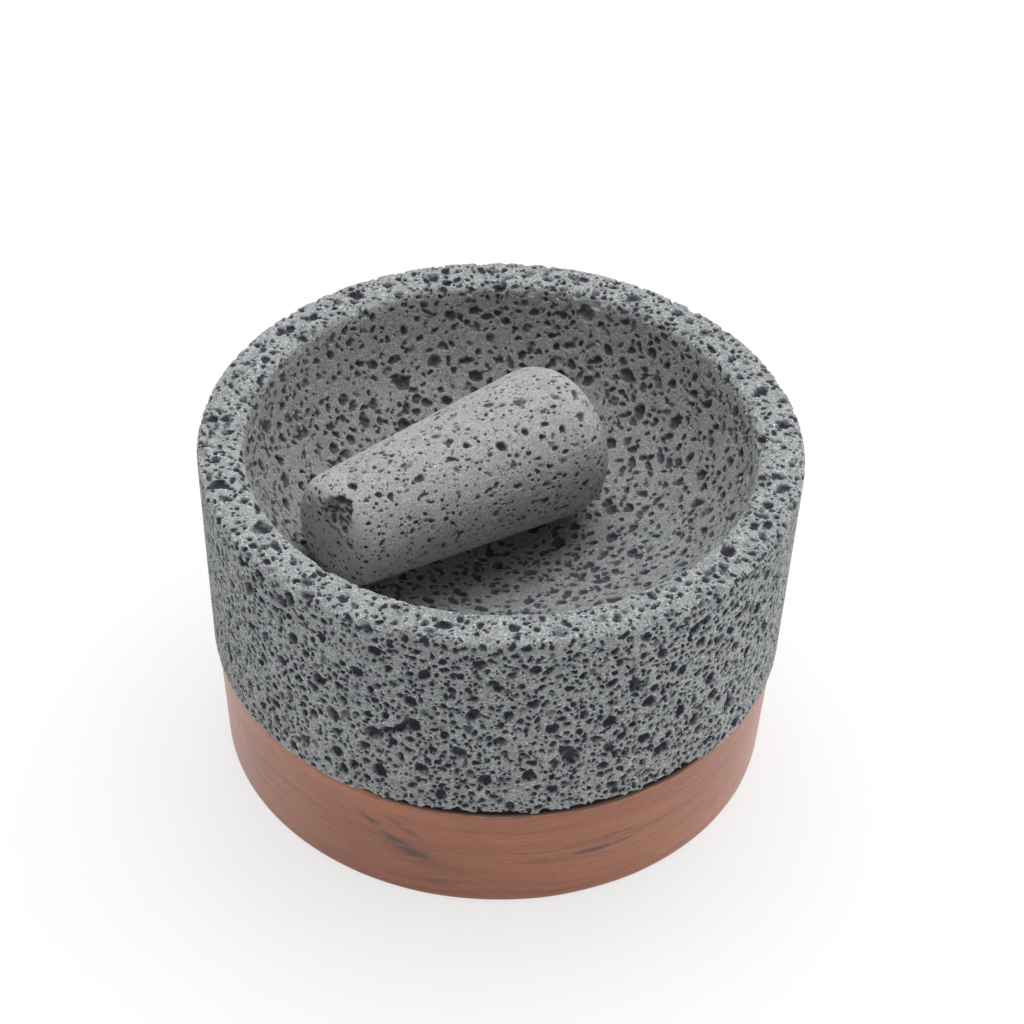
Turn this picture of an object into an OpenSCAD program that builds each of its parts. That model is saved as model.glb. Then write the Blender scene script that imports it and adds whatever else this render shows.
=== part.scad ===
// Molcajete: a straight-walled bowl of porous basalt on a turned wooden base,
// with its tejolote, the hand stone, lying in the hollow.
// Millimetres. The origin is the middle of the base's underside, +Z is up, -Y is the front.

/* [Wooden base] */
// Height of the wooden base
base_h = 43.5; // [38:0.5:50]
// Radius of the base at its top edge
base_top_r = 96; // [94:0.5:97]
// Radius of the base at its foot
base_foot_r = 93.5; // [91:0.5:96]
// Rounding of the foot's outer edge
base_foot_edge = 1.5; // [0.5:0.25:6]
// Softening of the top's outer edge
base_top_edge = 0.75; // [0.5:0.25:2]
// Depth of the seat turned into the top
seat_depth = 10; // [8:0.5:14]
// Width of the wall left round the seat
seat_wall = 20; // [16:0.5:26]
// Softening of the seat's mouth
seat_edge = 1; // [0.5:0.25:2]
// Depth of the hollow turned under the base
relief_depth = 3; // [2:0.5:5]
// Width of the ring that the base stands on
foot_ring = 14; // [10:0.5:20]

/* [Stone bowl] */
// Height of the stone above the base
stone_h = 78.5; // [74:0.5:86]
// Outer radius at the rim
rim_r = 100; // [98.5:0.5:104]
// Outer radius at the lower edge
stone_low_r = 97.2; // [96.2:0.2:98.4]
// Rounding of the lower edge
stone_low_edge = 2; // [1:0.5:6]
// Rounding of the rim's outer edge
rim_outer_edge = 2; // [1:0.25:4]
// Rounding of the rim's inner edge
rim_inner_edge = 3; // [1:0.25:4]
// Radius of the hollow at the rim
mouth_r = 85; // [82:0.5:88]
// Steepness of the hollow's wall at the rim, in degrees
mouth_slope = 80; // [76:1:84]
// Radius of the arc from the wall into the floor
wall_arc_r = 55; // [50:1:60]
// Radius of the shallow arc of the floor
floor_arc_r = 130; // [115:1:160]
// Length of the spigot that drops into the seat
spigot_h = 9; // [6:0.5:9.5]
// Gap between the spigot and the seat, all round
spigot_gap = 1; // [0.5:0.25:2]
// Softening of the spigot's lower edge
spigot_edge = 2; // [1:0.25:3]

/* [Large pores of the bowl] */
// Distance from one large pore to the next
pore_step = 15; // [15:0.5:30]
// How far a pore may stray from its even place, as a share of that distance
pore_stray = 0.22; // [0:0.01:0.25]
// Radius of the smallest of them
pore_least_r = 1.7; // [1.2:0.1:2]
// Radius of the largest of them
pore_most_r = 2.7; // [2:0.1:3]
// Depth of a pore, as a share of its radius
pore_depth = 1.1; // [0.8:0.1:1.4]
// Lean of a pore's axis from the face, in degrees
pore_tilt = 15; // [0:1:20]
// Stone left between a pore and the edge of its face
pore_margin = 1; // [0.5:0.25:3]

/* [Tejolote] */
// Length of the tejolote
tejolote_l = 105; // [98:0.5:106]
// Radius of the end that the hand holds
grip_r = 19; // [16:0.25:20]
// Radius of the end that grinds
grind_r = 27.5; // [24:0.25:28]
// Rounding of the grip's edge
grip_edge = 8.5; // [5:0.5:11]
// Rounding of the grinding edge
grind_edge = 13; // [9:0.5:16]
// Turn of its axis from +X towards +Y, as it lies in the bowl, in degrees
lie_turn = 40; // [0:1:90]
// Fall of its axis towards the grinding end, in degrees
lie_fall = 3.4; // [3:0.1:4]
// Place of its middle to the right of the bowl's axis
lie_x = -15.8; // [-16:0.1:-14]
// Place of its middle behind the bowl's axis
lie_y = 0; // [-1:0.1:1]
// Height of its middle above the ground
lie_z = 102.6; // [102.6:0.1:112]

/* [Hidden] */
$fn = 96;

rim_z = base_h + stone_h;
seat_r = base_top_r - seat_wall;
spigot_r = seat_r - spigot_gap;
relief_r = base_foot_r - foot_ring;

// How far each wall leans outwards as it rises, in degrees
base_lean = atan((base_top_r - base_foot_r) / base_h);
stone_lean = atan((rim_r - stone_low_r) / stone_h);
tejolote_lean = atan((grind_r - grip_r) / tejolote_l);

// Centres of the hollow's two arcs, which meet without a crease
wall_arc_at = [mouth_r - wall_arc_r * sin(mouth_slope), rim_z + wall_arc_r * cos(mouth_slope)];
arcs_apart = floor_arc_r - wall_arc_r;
floor_arc_at = [0, wall_arc_at.y + sqrt(arcs_apart ^ 2 - wall_arc_at.x ^ 2)];
arc_turn = asin(wall_arc_at.x / arcs_apart);

// Turn from one large pore to the next, the golden part of a circle, which never lines them up
golden_turn = 137.50776;
// Least distance from a pore's middle to the edge of its face
pore_room = pore_most_r + pore_margin;

// Unit vector at an angle, and one vector at length one
function towards(angle) = [cos(angle), sin(angle)];
function unit(v) = v / norm(v);

// Centre of a round of radius e at the foot or the top of a wall that leans outwards
function foot_round(r, z, e, lean) = [r + e * tan(lean) - e / cos(lean), z + e];
function top_round(r, z, e, lean) = [r - e * tan(lean) - e / cos(lean), z - e];

// The value some way from one to another, and what is left of a number without its whole part
function between(low, high, share) = low + (high - low) * share;
function rest(x) = x - floor(x);

// A number from 0 to 1 that looks random, and is always the same for the same pore and use
function chance(k, use) = rest(43758.5453 * sin(127.1 * k + 311.7 * use));

// Number of large pores on a face, and how far the k-th one strays from its even place
function pore_count(area) = round(area / pore_step ^ 2);
function stray(k, use) = pore_stray * pore_step * (2 * chance(k, use) - 1);

// The k-th pore's turn on a circle of radius r, its place among n across a face, as a share, and its radius
function pore_turn(k, r) = golden_turn * k + stray(k, 1) / r * 180 / PI;
function pore_share(k, n, width) = max(0, min(1, (k - 0.5) / n + stray(k, 2) / width));
function pore_r(k) = between(pore_least_r, pore_most_r, chance(k, 3));

// Waste outside a round of radius e, between the two directions in which it meets its faces
module round_off(centre, e, a, b) {
    difference() {
        polygon([centre, centre + 2 * e * a, centre + 3 * e * unit(a + b), centre + 2 * e * b]);
        translate(centre) circle(e);
    }
}

module wooden_base_outline() {
    difference() {
        polygon([
            [0, relief_depth], [relief_r, relief_depth], [relief_r, 0], [base_foot_r, 0],
            [base_top_r, base_h], [seat_r, base_h], [seat_r, base_h - seat_depth],
            [0, base_h - seat_depth]
        ]);
        round_off(foot_round(base_foot_r, 0, base_foot_edge, base_lean), base_foot_edge,
            towards(-90), towards(-base_lean));
        round_off(top_round(base_top_r, base_h, base_top_edge, base_lean), base_top_edge,
            towards(90), towards(-base_lean));
        round_off([seat_r + seat_edge, base_h - seat_edge], seat_edge, towards(90), towards(180));
    }
}

// The hollow: a shallow floor arc that runs on into the steeper arc of the wall
module hollow_outline() {
    translate(wall_arc_at) circle(wall_arc_r);
    intersection() {
        translate(floor_arc_at) circle(floor_arc_r);
        polygon([
            floor_arc_at, floor_arc_at - [0, 2 * floor_arc_r],
            floor_arc_at + 2 * floor_arc_r * towards(arc_turn - 90)
        ]);
    }
}

module stone_bowl_outline() {
    rim_round_z = rim_z - rim_inner_edge;
    rim_round = [
        wall_arc_at.x + sqrt((wall_arc_r + rim_inner_edge) ^ 2 - (wall_arc_at.y - rim_round_z) ^ 2),
        rim_round_z
    ];
    intersection() {
        difference() {
            polygon([
                [0, base_h - spigot_h], [spigot_r, base_h - spigot_h], [spigot_r, base_h],
                [stone_low_r, base_h], [rim_r, rim_z], [0, rim_z]
            ]);
            hollow_outline();
            round_off([spigot_r - spigot_edge, base_h - spigot_h + spigot_edge], spigot_edge,
                towards(-90), towards(0));
            round_off(foot_round(stone_low_r, base_h, stone_low_edge, stone_lean), stone_low_edge,
                towards(-90), towards(-stone_lean));
            round_off(top_round(rim_r, rim_z, rim_outer_edge, stone_lean), rim_outer_edge,
                towards(90), towards(-stone_lean));
            round_off(rim_round, rim_inner_edge, towards(90), unit(wall_arc_at - rim_round));
        }
        square([2 * rim_r, 2 * rim_z]);
    }
}

module tejolote_outline() {
    difference() {
        polygon([[0, 0], [grip_r, 0], [grind_r, tejolote_l], [0, tejolote_l]]);
        round_off(foot_round(grip_r, 0, grip_edge, tejolote_lean), grip_edge,
            towards(-90), towards(-tejolote_lean));
        round_off(top_round(grind_r, tejolote_l, grind_edge, tejolote_lean), grind_edge,
            towards(90), towards(-tejolote_lean));
    }
}

// Base turned from one slab, with a seat above and a shallow hollow below
module wooden_base() {
    color([0.60, 0.40, 0.33]) rotate_extrude() wooden_base_outline();
}

// The k-th pore of a face that looks up the Z axis: a leaning pit with five, six or seven sides
module pore(k) {
    r = pore_r(k);
    deep = pore_depth * r;
    lean_to = 360 * chance(k, 4);
    rotate([pore_tilt * cos(lean_to), pore_tilt * sin(lean_to), 0])
        translate([0, 0, -deep]) cylinder(h = 2 * deep, r = r, $fn = 5 + k % 3);
}

// Large pores of the sawn outer wall
module wall_pores() {
    low = stone_low_edge + pore_room;
    high = stone_h - rim_outer_edge - pore_room;
    n = pore_count(PI * (stone_low_r + rim_r) * stone_h);
    for (k = [1 : n]) {
        rise = between(low, high, pore_share(k, n, high - low));
        rotate(pore_turn(k, rim_r))
            translate([between(stone_low_r, rim_r, rise / stone_h), 0, base_h + rise])
                rotate([0, 90 + stone_lean, 0]) pore(k);
    }
}

// Large pores of the flat rim
module rim_pores() {
    flat_low = mouth_r + rim_inner_edge;
    flat_high = rim_r - rim_outer_edge;
    low = flat_low + pore_room;
    high = flat_high - pore_room;
    n = pore_count(PI * (flat_high ^ 2 - flat_low ^ 2));
    for (k = [1 : n])
        rotate(pore_turn(k, rim_r))
            translate([between(low, high, pore_share(k, n, high - low)), 0, rim_z]) pore(k);
}

// Large pores of the stretch of the hollow that an arc draws from one angle to another
// The bend is 1 where the stretch is a band, and 0.5 where it is a disc and would crowd its middle
module arc_pores(centre, r, arc_low, arc_high, area, bend) {
    room = asin(pore_room / r);
    low = arc_low + room;
    high = arc_high - room;
    n = pore_count(area);
    for (k = [1 : n]) {
        angle = between(low, high, pore_share(k, n, r * (high - low) * PI / 180) ^ bend);
        rotate(pore_turn(k, mouth_r))
            translate([centre.x + r * cos(angle), 0, centre.y + r * sin(angle)])
                rotate([0, -90 - angle, 0]) pore(k);
    }
}

// Large pores of the ground hollow
module hollow_pores() {
    low = arc_turn - 90;
    high = mouth_slope - 90 - asin(rim_inner_edge / wall_arc_r);
    wall_length = wall_arc_r * (high - low) * PI / 180;
    wall_height = wall_arc_r * (sin(high) - sin(low));
    wall_area = 2 * PI * (wall_arc_at.x * wall_length + wall_arc_r * wall_height);
    floor_area = 2 * PI * floor_arc_r ^ 2 * (1 - cos(arc_turn));
    arc_pores(wall_arc_at, wall_arc_r, low, high, wall_area, 1);
    arc_pores(floor_arc_at, floor_arc_r, -90, low, floor_area, 0.5);
}

// Bowl worked from one block, with a spigot that drops into the base's seat and its largest pores cut open
module stone_bowl() {
    color([0.45, 0.46, 0.47])
        difference() {
            rotate_extrude() stone_bowl_outline();
            wall_pores();
            rim_pores();
            hollow_pores();
        }
}

// Hand stone, thicker at the end that grinds, lying across the hollow
module tejolote() {
    color([0.58, 0.58, 0.58])
        translate([lie_x, lie_y, lie_z])
            rotate([0, 0, lie_turn])
                rotate([0, 90 + lie_fall, 0])
                    translate([0, 0, -tejolote_l / 2])
                        rotate_extrude() tejolote_outline();
}

wooden_base();
stone_bowl();
tejolote();
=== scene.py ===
# %% [markdown]
# # A molcajete of porous basalt
# The object is three pieces: a straight-walled stone bowl, the hand stone that lies in it, called a
# tejolote, and a turned wooden base. A frame of measured solids says where each piece lies, in metres. This
# lesson builds a finely detailed skin for each solid, one cell at a time, and most cells print what they
# made or measured.

# %% Load the frame and keep its box
import math

import bpy
import numpy as np
from mathutils import Matrix, Vector
from mathutils.kdtree import KDTree


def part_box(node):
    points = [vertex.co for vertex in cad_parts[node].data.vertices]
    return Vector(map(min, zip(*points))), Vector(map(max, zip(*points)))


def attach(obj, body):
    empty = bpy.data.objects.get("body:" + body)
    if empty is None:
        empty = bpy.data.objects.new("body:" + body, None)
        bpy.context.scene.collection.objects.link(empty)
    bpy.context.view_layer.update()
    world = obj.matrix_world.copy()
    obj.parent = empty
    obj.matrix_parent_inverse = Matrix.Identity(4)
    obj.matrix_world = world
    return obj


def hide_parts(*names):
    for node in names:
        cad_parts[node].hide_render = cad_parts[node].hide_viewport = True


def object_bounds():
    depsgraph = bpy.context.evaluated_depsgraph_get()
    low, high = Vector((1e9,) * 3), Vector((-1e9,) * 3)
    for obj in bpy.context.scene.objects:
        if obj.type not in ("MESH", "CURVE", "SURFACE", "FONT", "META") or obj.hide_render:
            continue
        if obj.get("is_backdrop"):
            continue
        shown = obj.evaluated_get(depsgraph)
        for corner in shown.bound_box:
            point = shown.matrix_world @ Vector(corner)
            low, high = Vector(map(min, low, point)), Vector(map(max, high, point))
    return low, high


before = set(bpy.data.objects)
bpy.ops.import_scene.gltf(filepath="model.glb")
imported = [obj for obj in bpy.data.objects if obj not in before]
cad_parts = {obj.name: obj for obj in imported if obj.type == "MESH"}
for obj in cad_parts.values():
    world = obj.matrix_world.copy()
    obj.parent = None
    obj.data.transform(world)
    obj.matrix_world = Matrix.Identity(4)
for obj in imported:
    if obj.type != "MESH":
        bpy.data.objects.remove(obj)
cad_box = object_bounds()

# %% [markdown]
# ## Sizes
# A maker thinks of this object in millimetres, so the shapes below are drawn in millimetres and turned into
# metres only when a mesh is made. The heights at which the pieces meet are read from the frame. The frame
# only gives boxes, so the smaller sizes, such as the rounding of an edge, are written down with each piece.

# %% Heights of the pieces, in millimetres
MM = 0.001


def box_mm(node):
    """Lowest and highest corner of a solid, in millimetres."""
    return [np.array(corner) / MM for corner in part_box(node)]


base_top_z = box_mm("wooden_base")[1][2]
bowl_low, bowl_high = box_mm("stone_bowl")
spigot_z = bowl_low[2]
rim_z = bowl_high[2]
stone_h = rim_z - base_top_z
print(f"wood {base_top_z:.1f} mm high, stone {stone_h:.1f} mm above it, rim at {rim_z:.1f} mm")

# %% [markdown]
# ## Drawing an outline
# All three pieces are turned or ground round an axis, so each starts as half an outline: points of radius
# and height. Straight stretches need two points. A round edge is an arc between the two faces that it
# joins, and the helper below finds its centre, as a compass would, from the corner and the directions of
# the two faces.

# %% Helpers that draw half an outline


def arc(centre, radius, start, end, step=0.25):
    """Points on an arc, from one angle to another in degrees, about `step` apart."""
    count = max(3, int(abs(math.radians(end - start)) * radius / step))
    angles = np.radians(np.linspace(start, end, count))
    return [(centre[0] + radius * math.cos(a), centre[1] + radius * math.sin(a)) for a in angles]


def lean(low_r, high_r, height):
    """How far a wall leans outwards as it rises, in degrees."""
    return math.degrees(math.atan2(high_r - low_r, height))


def foot_round(r, z, edge, tilt):
    """Arc that turns a flat underside into a wall that leans outwards."""
    t = math.radians(tilt)
    return arc((r + edge * math.tan(t) - edge / math.cos(t), z + edge), edge, -90, -tilt)


def top_round(r, z, edge, tilt):
    """Arc that turns a wall that leans outwards into a flat top."""
    t = math.radians(tilt)
    return arc((r - edge * math.tan(t) - edge / math.cos(t), z - edge), edge, -tilt, 90)


def even_steps(points, spacing):
    """The same outline with its points a steady distance apart."""
    points = np.array(points, float)
    along = np.concatenate([[0], np.cumsum(np.linalg.norm(np.diff(points, axis=0), axis=1))])
    keep = np.concatenate([[True], np.diff(along) > 1e-9])
    points, along = points[keep], along[keep]
    stops = np.linspace(0, along[-1], max(2, int(round(along[-1] / spacing)) + 1))
    return np.stack([np.interp(stops, along, points[:, i]) for i in (0, 1)], axis=1)


print("outline helpers ready: a quarter round of 3 mm has", len(arc((0, 0), 3, 0, 90)), "points")

# %% [markdown]
# ## Closing two rings like a zip
# A screw modifier would spin the outline with the same number of steps at every radius, which crowds the
# middle of the bowl and starves the rim. Pores need the same fine spacing everywhere, so each ring gets as
# many points as its own girth needs, and neighbouring rings are closed like a zip: walk round both, and
# always step on the ring that is behind. The zip is worked out for a whole ring at once by sorting the
# steps by angle.

# %% Helper that closes two rings


def zip_rings(first_a, count_a, phase_a, first_b, count_b, phase_b):
    """Triangles between two rings of different counts, and each corner's turn round the axis."""
    next_a = (np.arange(count_a) + 1 + phase_a) / count_a
    next_b = (np.arange(count_b) + 1 + phase_b) / count_b
    on_a = np.argsort(np.concatenate([next_a, next_b]), kind="stable") < count_a
    at_a = np.cumsum(on_a) - on_a
    at_b = np.cumsum(~on_a) - ~on_a
    third_is_a = np.where(on_a, at_a + 1, at_b + 1)
    corners = np.stack([first_a + at_a % count_a,
                        np.where(on_a, first_a + third_is_a % count_a, first_b + third_is_a % count_b),
                        first_b + at_b % count_b], axis=1)
    turns = np.stack([(at_a + phase_a) / count_a,
                      np.where(on_a, (third_is_a + phase_a) / count_a, (third_is_a + phase_b) / count_b),
                      (at_b + phase_b) / count_b], axis=1)
    real = np.where(on_a, count_a > 1, count_b > 1)
    return corners[real], turns[real]


trial = zip_rings(0, 8, 0, 8, 12, 0.5)[0]
print("zip of 8 and 12 points makes", len(trial), "triangles")

# %% [markdown]
# ## Spinning an outline
# The spin keeps more than the points. Each point remembers its ring, its turn round the axis and the way
# inward, into the material, because pores will slide the points inward. Mesh normals would jump at an edge,
# so the way inward comes from the outline and is blurred along it.

# %% Helpers that spin an outline into a skin


def smooth_along(values, width):
    """Rows blurred along the outline, so that directions turn gently round an edge."""
    reach = np.arange(-3 * width, 3 * width + 1)
    weights = np.exp(-0.5 * (reach / width) ** 2)
    padded = np.pad(values, ((3 * width, 3 * width), (0, 0)), mode="edge")
    blurred = np.stack([np.convolve(padded[:, i], weights, "valid") for i in (0, 1)], axis=1)
    return blurred / np.linalg.norm(blurred, axis=1, keepdims=True)


def spin(outline, spacing, soften=1):
    """Skin of an outline spun round Z: points, inward directions, triangles, and where each corner lies."""
    along = np.gradient(outline, axis=0)
    inward = smooth_along(np.stack([-along[:, 1], along[:, 0]], axis=1), soften)
    inward[0], inward[-1] = (0, np.sign(inward[0, 1])), (0, np.sign(inward[-1, 1]))
    counts = np.maximum(6, np.round(2 * math.pi * outline[:, 0] / spacing).astype(int))
    counts[outline[:, 0] < 1e-6] = 1
    phases = np.arange(len(outline)) % 2 * 0.5
    first = np.concatenate([[0], np.cumsum(counts)])
    ring = np.repeat(np.arange(len(outline)), counts)
    turn = (np.arange(first[-1]) - first[ring] + phases[ring]) / counts[ring] * 2 * math.pi
    around = np.stack([np.cos(turn), np.sin(turn)], axis=1)
    points = np.column_stack([around * outline[ring, :1], outline[ring, 1]])
    direction = np.column_stack([around * inward[ring, :1], inward[ring, 1]])
    zipped = [zip_rings(first[k], counts[k], phases[k], first[k + 1], counts[k + 1], phases[k + 1])
              for k in range(len(outline) - 1)]
    triangles, turns = (np.concatenate(rows) for rows in zip(*zipped))
    return {"points": points, "inward": direction, "ring": ring, "turn": turn,
            "triangles": triangles, "turns": turns}


trial = spin(np.array([(0.0, 0.0), (2.0, 1.0), (4.0, 2.0), (0.0, 3.0)]), 1.0)
print("a trial top, 8 mm wide, has", len(trial["points"]), "points")

# %% [markdown]
# ## The bowl's outline
# The bowl was sawn and ground from one block. A boolean of a cone and a ball would give its form, but in
# long thin triangles in which no pore can open, so it is spun instead. Its hollow is two arcs that meet
# without a crease, a steep one for the wall and a shallow one for the floor, and a third arc rounds the
# rim's inner edge.

# %% Sizes of the bowl and the arcs of its hollow
rim_r = 100.0
rim_outer_edge = 2.0
rim_inner_edge = 3.0
stone_low_r = 97.2
stone_low_edge = 2.0
shoulder_inset = 6
spigot_r = 75.0
spigot_edge = 2.0
mouth_r = 85.0
mouth_slope = 80.0
wall_arc_r = 55.0
floor_arc_r = 130.0

stone_tilt = lean(stone_low_r, rim_r, stone_h)
wall_arc_at = (mouth_r - wall_arc_r * math.sin(math.radians(mouth_slope)),
               rim_z + wall_arc_r * math.cos(math.radians(mouth_slope)))
arcs_apart = floor_arc_r - wall_arc_r
floor_arc_z = wall_arc_at[1] + math.sqrt(arcs_apart ** 2 - wall_arc_at[0] ** 2)
arc_turn = math.degrees(math.asin(wall_arc_at[0] / arcs_apart))
rim_round_z = rim_z - rim_inner_edge
rim_round_fall = wall_arc_at[1] - rim_round_z
rim_round_r = wall_arc_at[0] + math.sqrt((wall_arc_r + rim_inner_edge) ** 2 - rim_round_fall ** 2)
meets_wall = math.degrees(math.atan2(rim_round_z - wall_arc_at[1], rim_round_r - wall_arc_at[0]))
print(f"the wall leans {stone_tilt:.1f} degrees, the arcs meet {arc_turn:.1f} degrees from the axis")

# %% [markdown]
# ## The bowl's skin
# The outline runs from the underside of the spigot, out along the shoulder that sits on the wood, up the
# wall, over the flat rim and down the hollow to the middle. A third of a millimetre between points is
# enough to draw a pore of one millimetre. The hidden underside is left coarse.

# %% Outline and skin of the bowl
FINE = 0.34
COARSE = 2.5

hidden = [(0, spigot_z), (spigot_r - spigot_edge, spigot_z)]
hidden += arc((spigot_r - spigot_edge, spigot_z + spigot_edge), spigot_edge, -90, 0)
shoulder_r = stone_low_r - stone_low_edge - shoulder_inset
hidden += [(spigot_r, base_top_z), (shoulder_r, base_top_z)]
shown = [(shoulder_r, base_top_z)] + foot_round(stone_low_r, base_top_z, stone_low_edge, stone_tilt)
shown += top_round(rim_r, rim_z, rim_outer_edge, stone_tilt)
shown += arc((rim_round_r, rim_round_z), rim_inner_edge, 90, 180 + meets_wall)
shown += arc(wall_arc_at, wall_arc_r, meets_wall, arc_turn - 90)
shown += arc((0, floor_arc_z), floor_arc_r, arc_turn - 90, -90)
hidden_rings = even_steps(hidden, COARSE)[:-1]
bowl_outline = np.concatenate([hidden_rings, even_steps(shown, FINE)])
bowl_outline[[0, -1], 0] = 0
first_shown = len(hidden_rings)

bowl = spin(bowl_outline, FINE, soften=11)
print(f"bowl skin: {len(bowl['points'])} points, {len(bowl['triangles'])} triangles, "
      f"hollow {rim_z - bowl_outline[-1, 1]:.1f} mm deep")

# %% [markdown]
# ## A rule for large pores
# The solid already has the largest pores, as plain pits that are set out by a rule. Each pore lies the
# golden part of a circle further round the bowl than the one before and a small step further across its
# face, as the seeds of a sunflower do, and then strays a little, so that no row shows. Repeating the rule
# here opens the skin's largest pores in the same places.

# %% Helpers that set out the large pores of a face
pore_step = 15.0
pore_stray = 0.22
pore_least_r = 1.7
pore_most_r = 2.7
pore_room = pore_most_r + 1.0
golden_turn = math.radians(137.50776)


def chance(k, use):
    """A number from 0 to 1 that looks random, and is always the same for the same pore and use."""
    return 43758.5453 * np.sin(np.radians(127.1 * k + 311.7 * use)) % 1


def large_pores(area, girth_r, low, high, width, place, bend=1.0):
    """The large pores of one face: where they lie, which way is inward, and their radii."""
    count = round(area / pore_step ** 2)
    k = np.arange(1, count + 1)
    stray = [pore_stray * pore_step * (2 * chance(k, use) - 1) for use in (1, 2)]
    turn = golden_turn * k + stray[0] / girth_r
    share = np.clip((k - 0.5) / count + stray[1] / width, 0, 1)
    r, z, inward_r, inward_z = place(low + (high - low) * share ** bend)
    at = np.stack([r * np.cos(turn), r * np.sin(turn), z], axis=1)
    inward = np.stack([inward_r * np.cos(turn), inward_r * np.sin(turn), inward_z], axis=1)
    return list(zip(at, inward, pore_least_r + (pore_most_r - pore_least_r) * chance(k, 3)))


print(f"large pores are {2 * pore_least_r:.1f} to {2 * pore_most_r:.1f} mm wide, {pore_step:.0f} mm apart")

# %% [markdown]
# ## Large pores of the four faces
# The rule only says how far round and how far across a pore lies. Three short helpers turn that into a
# place and a way inward: on the cone of the wall, on the flat ring of the rim, and on an arc of the hollow,
# which serves for its wall and for its floor.

# %% Places of the bowl's large pores


def on_wall(rise):
    """A place on the outer wall, some way up from its foot."""
    tilt = math.radians(stone_tilt)
    r = stone_low_r + (rim_r - stone_low_r) * rise / stone_h
    return r, base_top_z + rise, np.full_like(r, -math.cos(tilt)), np.full_like(r, math.sin(tilt))


def on_rim(r):
    """A place on the flat rim."""
    return r, np.full_like(r, rim_z), np.zeros_like(r), np.full_like(r, -1.0)


def on_arc(middle, arc_r):
    """A place on an arc of the hollow, at an angle."""
    return lambda angle: (middle[0] + arc_r * np.cos(angle), middle[1] + arc_r * np.sin(angle),
                          np.cos(angle), np.sin(angle))


wall_low, wall_high = stone_low_edge + pore_room, stone_h - rim_outer_edge - pore_room
large_sawn = large_pores(math.pi * (stone_low_r + rim_r) * stone_h, rim_r, wall_low, wall_high,
                         wall_high - wall_low, on_wall)
flat_low, flat_high = mouth_r + rim_inner_edge, rim_r - rim_outer_edge
large_rim = large_pores(math.pi * (flat_high ** 2 - flat_low ** 2), rim_r, flat_low + pore_room,
                        flat_high - pore_room, flat_high - flat_low - 2 * pore_room, on_rim)

hollow_low = math.radians(arc_turn - 90)
hollow_high = math.radians(mouth_slope - 90) - math.asin(rim_inner_edge / wall_arc_r)
arc_length = wall_arc_r * (hollow_high - hollow_low)
arc_height = wall_arc_r * (math.sin(hollow_high) - math.sin(hollow_low))
hollow_wall_area = 2 * math.pi * (wall_arc_at[0] * arc_length + wall_arc_r * arc_height)
hollow_floor_area = 2 * math.pi * floor_arc_r ** 2 * (1 - math.cos(math.radians(arc_turn)))
large_ground = []
for middle, arc_r, low, high, area, bend in (
        (wall_arc_at, wall_arc_r, hollow_low, hollow_high, hollow_wall_area, 1.0),
        ((0, floor_arc_z), floor_arc_r, -math.pi / 2, hollow_low, hollow_floor_area, 0.5)):
    room = math.asin(pore_room / arc_r)
    large_ground += large_pores(area, mouth_r, low + room, high - room, arc_r * (high - low - 2 * room),
                                on_arc(middle, arc_r), bend)
print(f"large pores: {len(large_sawn)} on the wall, {len(large_rim)} on the rim, "
      f"{len(large_ground)} in the hollow")

# %% [markdown]
# ## Bubbles
# Basalt foams as it cools, and cutting the block opens its gas bubbles into pores. A bump map could only
# shade them, so here they are real: bubbles are set into the skin, and every point that lies inside a
# bubble will slide inward to the bubble's far wall. A bubble whose middle lies below the surface gives a
# deep dark hole, and one whose middle lies above gives a shallow dish. Each is stretched and turned by
# chance, so that no mouth is a perfect circle.

# %% Helper that makes one bubble


def bubble(rng, at, inward, radius, sink, stretch, floor):
    """One stretched bubble: its middle, a matrix that turns it into a unit ball, its reach and its floor."""
    half_axes = radius * np.array([rng.uniform(1, stretch), 1, rng.uniform(1 / stretch, 1)])
    turn, _ = np.linalg.qr(rng.normal(size=(3, 3)))
    middle = at + inward * radius * rng.uniform(*sink)
    return middle, turn / half_axes, half_axes.max(), radius * rng.uniform(*floor)


trial = bubble(np.random.default_rng(0), np.zeros(3), np.array([0, 0, -1]), 2.0, (-0.3, 0.3), 1.4, (0.6, 2.0))
print(f"a trial bubble of 2 mm reaches {trial[2]:.1f} mm and is at most {trial[3]:.1f} mm deep")

# %% [markdown]
# ## Kinds of pores
# In the stone most pores are one to three millimetres wide, with a few of five or six, and they take up
# over a quarter of the surface. The hollow was ground smooth, so the smallest of them are worn away there,
# and on the flat rim many have run together. One mixture for all would look like a sponge, so the bowl has
# zones: sawn, flat and ground, and the flat rim has a finer mixture at the front than at the back.

# %% Zones of the bowl and their kinds of pores
rng = np.random.default_rng(7)
radius_of = np.hypot(bowl["points"][:, 0], bowl["points"][:, 1])
height_of = bowl["points"][:, 2]
mouth_reach, flat_reach, foot_clear = 1, 1.6, 0.5
in_hollow = (radius_of < mouth_r + mouth_reach) & (bowl["ring"] > first_shown)
ground = np.flatnonzero(in_hollow)
on_flat = (height_of > rim_z - flat_reach) & ~in_hollow
on_sawn = (bowl["ring"] >= first_shown) & (height_of > base_top_z + foot_clear) & ~in_hollow & ~on_flat
sawn = np.flatnonzero(on_sawn)

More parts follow.
